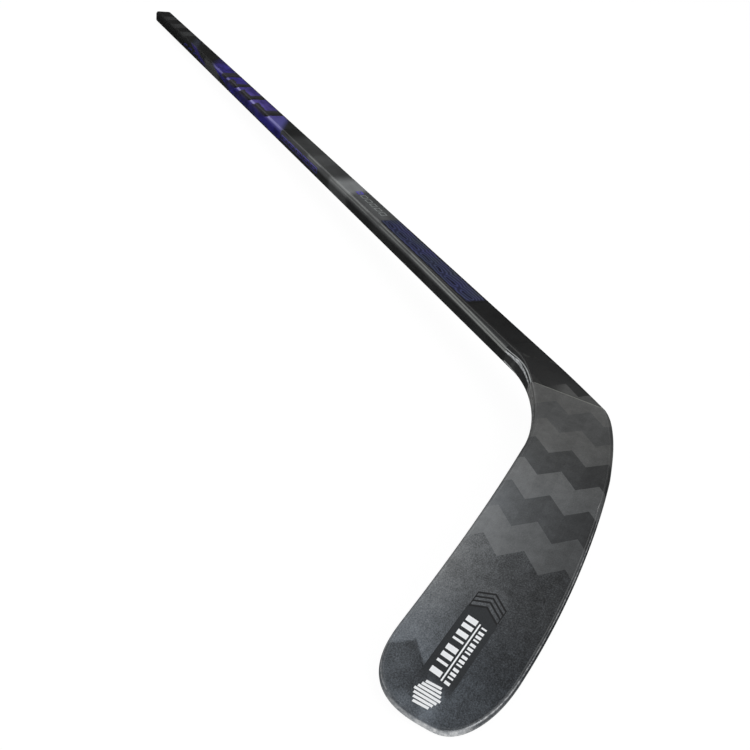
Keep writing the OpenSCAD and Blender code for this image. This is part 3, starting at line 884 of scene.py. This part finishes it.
def build_blade():
    """Skins and rims of the blade."""
    body = spread(SEAM, FIRST_BODY, 46)[:-1] + spread(FIRST_BODY, FIRST_TOE, 37)
    toe = spread(FIRST_TOE, LAST, 57)
    carbon = blade_carbon("blade_carbon")
    for name, sign, node in (("backhand_face", 1, "backhand_skin"), ("forehand_face", -1, "forehand_skin")):
        rings = [shift(face_ring(s, sign), 1) for s in body + toe[1:]]
        piece(name, loft(rings), carbon, "stick", "blade_carbon", node)
    # Rim coats with painted silver highlights, strong on the sole and toe, weak on the top edge.
    highlit_rim_coat = edge_resin("edge_resin", 0.85)
    dim = edge_resin("edge_dim", 0.3)
    for name, side, coat, node in (("sole_edge", 0, highlit_rim_coat, "sole_rim"), ("top_edge", 1, dim, "top_rim")):
        rings = [shift(rim_ring(s, side), 1) for s in body]
        piece(name, loft(rings), coat, "stick", "rim_resin", node)
    tip = [rim_ring(s, 0) for s in toe] + [rim_ring(s, 1) for s in toe[::-1]]
    piece("toe_edge", loft([shift(ring, 2) for ring in tip]), highlit_rim_coat, "stick", "rim_resin", "toe_rim")


FILM = 0.1
FILM_GAP = 0.03
FACE_FLAT = WIDE - 2 * CORNER
EDGE_FLAT = THICK - 2 * CORNER

# First place, last place and number of the repeated marks on the shaft.
BLOCKS = (598, 712.4, 5)
SIZE_BARS = (424, 477.6, 5)
TICKS = (1170, 1272, 4)


def wrap_path(offset):
    """Path across the wide face, round the corner and down the inner edge."""
    path = [(y, THICK / 2 + offset) for y in spread(-FACE_FLAT / 2, FACE_FLAT / 2, 12)]
    reach = CORNER + offset
    for k in range(1, ARC):
        a = math.radians(90 * k / ARC)
        path.append((FACE_FLAT / 2 + reach * math.sin(a), EDGE_FLAT / 2 + reach * math.cos(a)))
    return path + [(WIDE / 2 + offset, z) for z in spread(EDGE_FLAT / 2, -EDGE_FLAT / 2, 6)]


def build_violet():
    """Film with the violet fade, round one corner of the shaft."""
    section = wrap_path(FILM_GAP + FILM) + wrap_path(FILM_GAP)[::-1]
    rings = [[(t - LENGTH, y, z) for y, z in section] for t in spread(742, 1140, 30)]
    piece("violet_film", loft(rings), violet_print("violet_print"), "stick", "fade_film", "fade_graphic")


def face_patch(near, far, low, high, columns, rows):
    """Thin patch on the wide face."""
    ys = spread(low, high, columns)
    z = THICK / 2 + FILM_GAP
    section = [(y, z + FILM) for y in ys] + [(y, z) for y in ys[::-1]]
    return loft([[(t - LENGTH, y, h) for y, h in section] for t in spread(near, far, rows)])


def edge_patch(near, far, low, high):
    """Thin patch on the inner edge."""
    zs = spread(low, high, 3)
    y = WIDE / 2 + FILM_GAP
    section = [(y + FILM, z) for z in zs] + [(y, z) for z in zs[::-1]]
    return loft([[(t - LENGTH, w, z) for w, z in section] for t in spread(near, far, 3)])


def frame_of(patch, near, far, low, high, line):
    """Outline of a block, from four thin patches."""
    bottom, top = low + line, high - line
    return [patch(near, far, low, bottom), patch(near, far, top, high),
            patch(near, near + line, bottom, top), patch(far - line, far, bottom, top)]


def small_face(near, far, low, high):
    """Small thin patch on the wide face."""
    return face_patch(near, far, low, high, 3, 3)


def build_line_film():
    """Line print on the wide face, close to the blade."""
    lines = face_patch(205, 418, -FACE_FLAT / 2, FACE_FLAT / 2, 12, 30)
    piece("line_film", lines, line_print("line_print"), "stick", "line_film", "line_graphic")


def build_side_blocks():
    """Outlined blocks with a short bar in each, on the inner edge."""
    blocks = []
    for start in spread(*BLOCKS):
        blocks += frame_of(edge_patch, start, start + 24.6, -2.75, 4.4, 1.3)
        blocks.append(edge_patch(start + 7, start + 18, 0.1, 1.5))
    indigo = ink("side_ink", tone(58, 51, 136), tone(108, 100, 196), 0.4, 0.7)
    piece("side_blocks", merge(blocks), indigo, "stick", "mark_film", "side_graphic")


def build_size_marks():
    """Row of small outlined bars and a dot on the wide face."""
    low, high = -4, 3.2
    bars = []
    for start in spread(*SIZE_BARS):
        bars += frame_of(small_face, start, start + 9.4, low, high, 1.0)
    grey = ink("size_ink", tone(122, 127, 127), tone(160, 165, 165))
    piece("size_bars", merge(bars), grey, "stick", "mark_film", "size_mark")
    dot = frame_of(small_face, 491, 500.4, low, high, 2.0)
    violet = ink("dot_ink", tone(74, 66, 160), tone(112, 104, 204))
    piece("size_dot", merge(dot), violet, "stick", "mark_film")


def build_butt_ticks():
    """Pairs of short ticks on the inner edge, near the butt."""
    ticks = []
    for start in spread(*TICKS):
        ticks += [edge_patch(start, start + 15, -0.4, 2.6), edge_patch(start + 18, start + 24, -2.0, 1.0)]
    blue = ink("butt_ink", tone(28, 28, 84), tone(46, 46, 124))
    piece("butt_ticks", merge(ticks), blue, "stick", "mark_film", "butt_mark")


def blade_height(p):
    """Half thickness of the blade at p, by its nearest station."""
    s = FIRST_BODY + BODY_STEPS * (p[0] - THROAT_END[0]) / (TOE_X - THROAT_END[0])
    return thick(s) / 2


# Steps of a label strip between two sections, and heights in mm above the blade's face.
STRIP_STEPS = 7
BAND_LOW = 0.03
BAND_TOP = 0.1
CHEVRON_TOP = 0.14
MARK_TOP = 0.15

# Chevron lines of the label, in mm along and across it.
CHEVRON_TIPS = (4.2, 7.8, 11.4, 15.6)
CHEVRON_MIDDLE = 0.6
CHEVRON_EDGE = 9.8
CHEVRON_LINE = 1.5
BORDER_HALF = 0.35


def label_strip(sections, low, high):
    """Thin strip on the backhand face through sections, each a pair of points of the label."""
    shares = spread(0, 1, STRIP_STEPS)
    ends = [np.array(pair, float) for pair in sections]
    cuts = [ends[0]]
    for before, after in zip(ends, ends[1:]):
        cuts += [before + q * (after - before) for q in shares[1:]]
    rings = []
    for first, second in cuts:
        row = [first + r * (second - first) for r in shares]
        flat = [LABEL_HEEL + c[0] * LABEL_DIR + c[1] * LABEL_UP for c in row]
        ring = [place(f, blade_height(f) + high) for f in flat]
        rings.append(ring + [place(f, blade_height(f) + low) for f in flat[::-1]])
    return loft(rings)


def bar(near, far, low, high, lean=0.0):
    """Sections of a slanted bar on the label."""
    return ((near, low), (near + lean, high)), ((far, low), (far + lean, high))


def chevron(tip):
    """Sections of a chevron line with its tip towards the heel."""
    places = ((tip + 6.6, -CHEVRON_EDGE), (tip, CHEVRON_MIDDLE), (tip + 5.4, CHEVRON_EDGE))
    return [((x, y), (x + CHEVRON_LINE, y)) for x, y in places]


def mark(sections):
    """Pale mark on the label."""
    return label_strip(sections, BAND_TOP, MARK_TOP)


def build_label():
    """Label: a dark band that narrows to the heel, and nested chevrons with a border line on each side."""
    ends = ((0, 0.45 * LABEL_HALF), (9, LABEL_HALF), (LABEL_LONG, LABEL_HALF))
    band = label_strip([((x, -half), (x, half)) for x, half in ends], BAND_LOW, BAND_TOP)
    piece("label_band", band, label_coat("label_coat"), "stick", "label_film", "blade_label")
    lines = [label_strip(chevron(tip), BAND_TOP, CHEVRON_TOP) for tip in CHEVRON_TIPS]
    for side, near in ((CHEVRON_EDGE, 9.6), (-CHEVRON_EDGE, 10.8)):
        border = bar(near, 22, side - BORDER_HALF, side + BORDER_HALF)
        lines.append(label_strip(border, BAND_TOP, CHEVRON_TOP))
    edge = ink("chevron_ink", tone(2, 3, 5), tone(12, 14, 18))
    piece("label_chevrons", merge(lines), edge, "stick", "label_film")


def build_label_marks():
    """Pale bars, a rule, a row of small bars and a plain striped patch on the label."""
    marks = []
    for k, wide in enumerate((4.0, 3.2, 3.6, 1.6, 3.9, 3.3, 1.8, 3.8)):
        start = 28 + k * 5.8
        marks.append(mark(bar(start, start + wide, -0.3, 6.7)))
    marks.append(mark(bar(29, 73.5, -2.4, -1.5)))
    for k in range(14):
        start = 30 + k * 3.2
        wide = 2.0 if k % 3 else 1.2
        marks.append(mark(bar(start, start + wide, -7.0, -3.6)))
    for k in range(7):
        start = 76.5 + k * 2.3
        tall = 8.0 - abs(k - 3) * 1.1
        marks.append(mark(bar(start, start + 1.6, -tall, tall, 1.5)))
    white = ink("label_ink", tone(222, 225, 228), tone(250, 251, 252), 0.5)
    piece("label_marks", merge(marks), white, "stick", "label_film")


# Bead over the seam, in mm.
BEAD_HALF = 0.3
BEAD_RISE = 0.1
BEAD_LIFT = 0.02
BEAD_ROOT = 0.05


def build_seam_line():
    """Thin pale bead over the seam, on the backhand face."""
    low, high = edge_point(SEAM, 0, rim_width(SEAM)), edge_point(SEAM, 1, rim_width(SEAM))
    run = high - low
    step = BEAD_HALF * np.array([-run[1], run[0]]) / np.linalg.norm(run)
    face = thick(SEAM) / 2
    arc = [(math.cos(math.radians(a)), math.sin(math.radians(a))) for a in spread(0, 180, 7)]
    rings = []
    for q in spread(0, 1, FACE_STEPS):
        p = low + q * run
        ring = [place(p + c * step, face + BEAD_LIFT + BEAD_RISE * h) for c, h in arc]
        rings.append(ring + [place(p - step, face - BEAD_ROOT)])
    pale = ink("seam_ink", tone(104, 106, 100), tone(150, 152, 146), 0.35)
    piece("seam_bead", loft(rings), pale, "stick", "resin")


def dress_core(nodes):
    """Materials of the CAD pieces inside the shells."""
    looks = {
        "foam_stopper": foam("stopper_foam", tone(150, 146, 128), tone(198, 194, 176)),
        "tenon_core": foam("tenon_foam", tone(190, 184, 160), tone(226, 222, 206)),
        "tenon_sleeve": woven("tenon_weave", tone(16, 17, 18), tone(52, 54, 56), 0.4),
        "tenon_adhesive": moulded("adhesive", tone(170, 148, 96), tone(214, 194, 140), 0.35),
        "hosel_core": foam("hosel_foam", tone(180, 174, 152), tone(220, 214, 196)),
        "heel_core": foam("heel_foam", tone(160, 156, 138), tone(206, 202, 186)),
        "upper_core": foam("upper_foam", tone(200, 196, 178), tone(232, 228, 214)),
        "lower_core": foam("lower_foam", tone(206, 202, 186), tone(236, 232, 220)),
        "core_rib": woven("rib_weave", tone(20, 22, 23), tone(58, 61, 63), 0.45),
        "toe_insert": moulded("toe_rubber", tone(26, 28, 29), tone(52, 54, 56), 0.7),
    }
    for name, material in looks.items():
        mesh = nodes[name].data
        mesh.materials.clear()
        mesh.materials.append(material)


# ---------------------------------------------------------------- stage


SEEN_WHITE = 1.04
FLOOR_HALF = 14
FLOOR_GAP = 0.0005


def softbox(name, where, target, along, wide, high, power):
    """Area light that looks at a target; its width runs along a direction."""
    lamp = bpy.data.lights.new(name, "AREA")
    lamp.shape = "RECTANGLE"
    lamp.size = wide
    lamp.size_y = high
    lamp.energy = power
    obj = bpy.data.objects.new(name, lamp)
    back = (Vector(where) - Vector(target)).normalized()
    across = (Vector(along) - Vector(along).dot(back) * back).normalized()
    turn = Matrix((across, back.cross(across), back)).transposed().to_4x4()
    obj.matrix_world = Matrix.Translation(where) @ turn
    bpy.context.scene.collection.objects.link(obj)


def build_lights():
    """Soft overhead box, a frontal box for the toe's rim and a tall far one for the shaft's corner."""
    softbox("overhead", (-0.9, -1.1, 2.6), (-1.5, 0.1, 0), (1, 0, 0), 2.4, 1.6, 18)
    softbox("front", (-3.4, -0.3, 1.25), (-1.73, 0.2, 0), (0, 1, 0), 1.6, 0.9, 20)
    softbox("tall", (2.5, -0.1, 2.8), (-1.2, 0, 0), (0, 1, 0), 1.1, 2.3, 10)


def build_world():
    """White to the camera, soft light for the rest, and darker near the horizon in reflections."""
    world = bpy.data.worlds.new("surround")
    bpy.context.scene.world = world
    world.use_nodes = True
    tree = world.node_tree
    sky = tree.nodes["Background"]
    coords = tree.nodes.new("ShaderNodeTexCoord")
    split = tree.nodes.new("ShaderNodeSeparateXYZ")
    ramp = tree.nodes.new("ShaderNodeMapRange")
    ramp.interpolation_type = "SMOOTHSTEP"
    path = tree.nodes.new("ShaderNodeLightPath")
    pick = tree.nodes.new("ShaderNodeMix")
    tree.links.new(coords.outputs["Generated"], split.inputs[0])
    tree.links.new(split.outputs[2], ramp.inputs["Value"])
    ramp.inputs["From Min"].default_value = 0.3
    ramp.inputs["From Max"].default_value = 0.95
    ramp.inputs["To Min"].default_value = 0.015
    ramp.inputs["To Max"].default_value = 0.3
    tree.links.new(path.outputs["Is Glossy Ray"], pick.inputs[0])
    pick.inputs[2].default_value = 0.5
    tree.links.new(ramp.outputs[0], pick.inputs[3])
    seen = tree.nodes.new("ShaderNodeMix")
    tree.links.new(path.outputs["Is Camera Ray"], seen.inputs[0])
    tree.links.new(pick.outputs[0], seen.inputs[2])
    seen.inputs[3].default_value = SEEN_WHITE
    tree.links.new(seen.outputs[0], sky.inputs["Strength"])
    sky.inputs["Color"].default_value = (1, 1, 1, 1)


def floor_material():
    """Pale floor, dim in reflections."""
    material = bpy.data.materials.new("floor_pale")
    material.use_nodes = True
    tree = material.node_tree
    tree.nodes.clear()
    out = tree.nodes.new("ShaderNodeOutputMaterial")
    matte = tree.nodes.new("ShaderNodeBsdfDiffuse")
    matte.inputs["Color"].default_value = (0.9, 0.9, 0.9, 1)
    glow = tree.nodes.new("ShaderNodeEmission")
    glow.inputs["Strength"].default_value = SEEN_WHITE
    soft = tree.nodes.new("ShaderNodeMixShader")
    soft.inputs[0].default_value = 0.92
    dark = tree.nodes.new("ShaderNodeEmission")
    dark.inputs["Strength"].default_value = 0.02
    path = tree.nodes.new("ShaderNodeLightPath")
    pick = tree.nodes.new("ShaderNodeMixShader")
    tree.links.new(matte.outputs[0], soft.inputs[1])
    tree.links.new(glow.outputs[0], soft.inputs[2])
    tree.links.new(path.outputs["Is Glossy Ray"], pick.inputs[0])
    tree.links.new(soft.outputs[0], pick.inputs[1])
    tree.links.new(dark.outputs[0], pick.inputs[2])
    tree.links.new(pick.outputs[0], out.inputs["Surface"])
    return material


def build_floor():
    """Large plain floor that slopes to touch the blade and the butt."""
    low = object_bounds()[0]
    butt_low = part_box("end_plug")[0].z
    run = -low.x
    slope = (butt_low - low.z) / run
    mesh = bpy.data.meshes.new("floor")
    work = bmesh.new()
    bmesh.ops.create_grid(work, x_segments=24, y_segments=24, size=FLOOR_HALF)
    for vertex in work.verts:
        vertex.co.z = butt_low - FLOOR_GAP + slope * vertex.co.x
    work.to_mesh(mesh)
    work.free()
    mesh.materials.append(floor_material())
    obj = bpy.data.objects.new("floor", mesh)
    bpy.context.scene.collection.objects.link(obj)


def build_camera():
    """Camera near the blade, looking up the shaft."""
    data = bpy.data.cameras.new("camera")
    data.lens = 47.48
    data.sensor_width = 36
    data.clip_start = 0.02
    data.clip_end = 60
    obj = bpy.data.objects.new("camera", data)
    bpy.context.scene.collection.objects.link(obj)
    right = Vector((-0.38344, -0.91446, 0.12938))
    down = Vector((-0.48819, 0.08177, -0.86890))
    ahead = Vector((0.78399, -0.39634, -0.47778))
    turn = Matrix((right, -down, -ahead)).transposed().to_4x4()
    spot = (-2.0305, 0.4488, 0.3711)
    obj.matrix_world = Matrix.Translation(spot) @ turn
    bpy.context.scene.camera = obj


def main():
    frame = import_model()
    build_shaft()
    build_plug()
    build_hosel()
    build_blade()
    build_seam_line()
    build_violet()
    build_line_film()
    build_side_blocks()
    build_size_marks()
    build_butt_ticks()
    build_label()
    build_label_marks()
    dress_core(frame["nodes"])
    build_floor()
    build_world()
    build_lights()
    build_camera()
    bpy.context.scene.view_settings.view_transform = "Standard"


main()
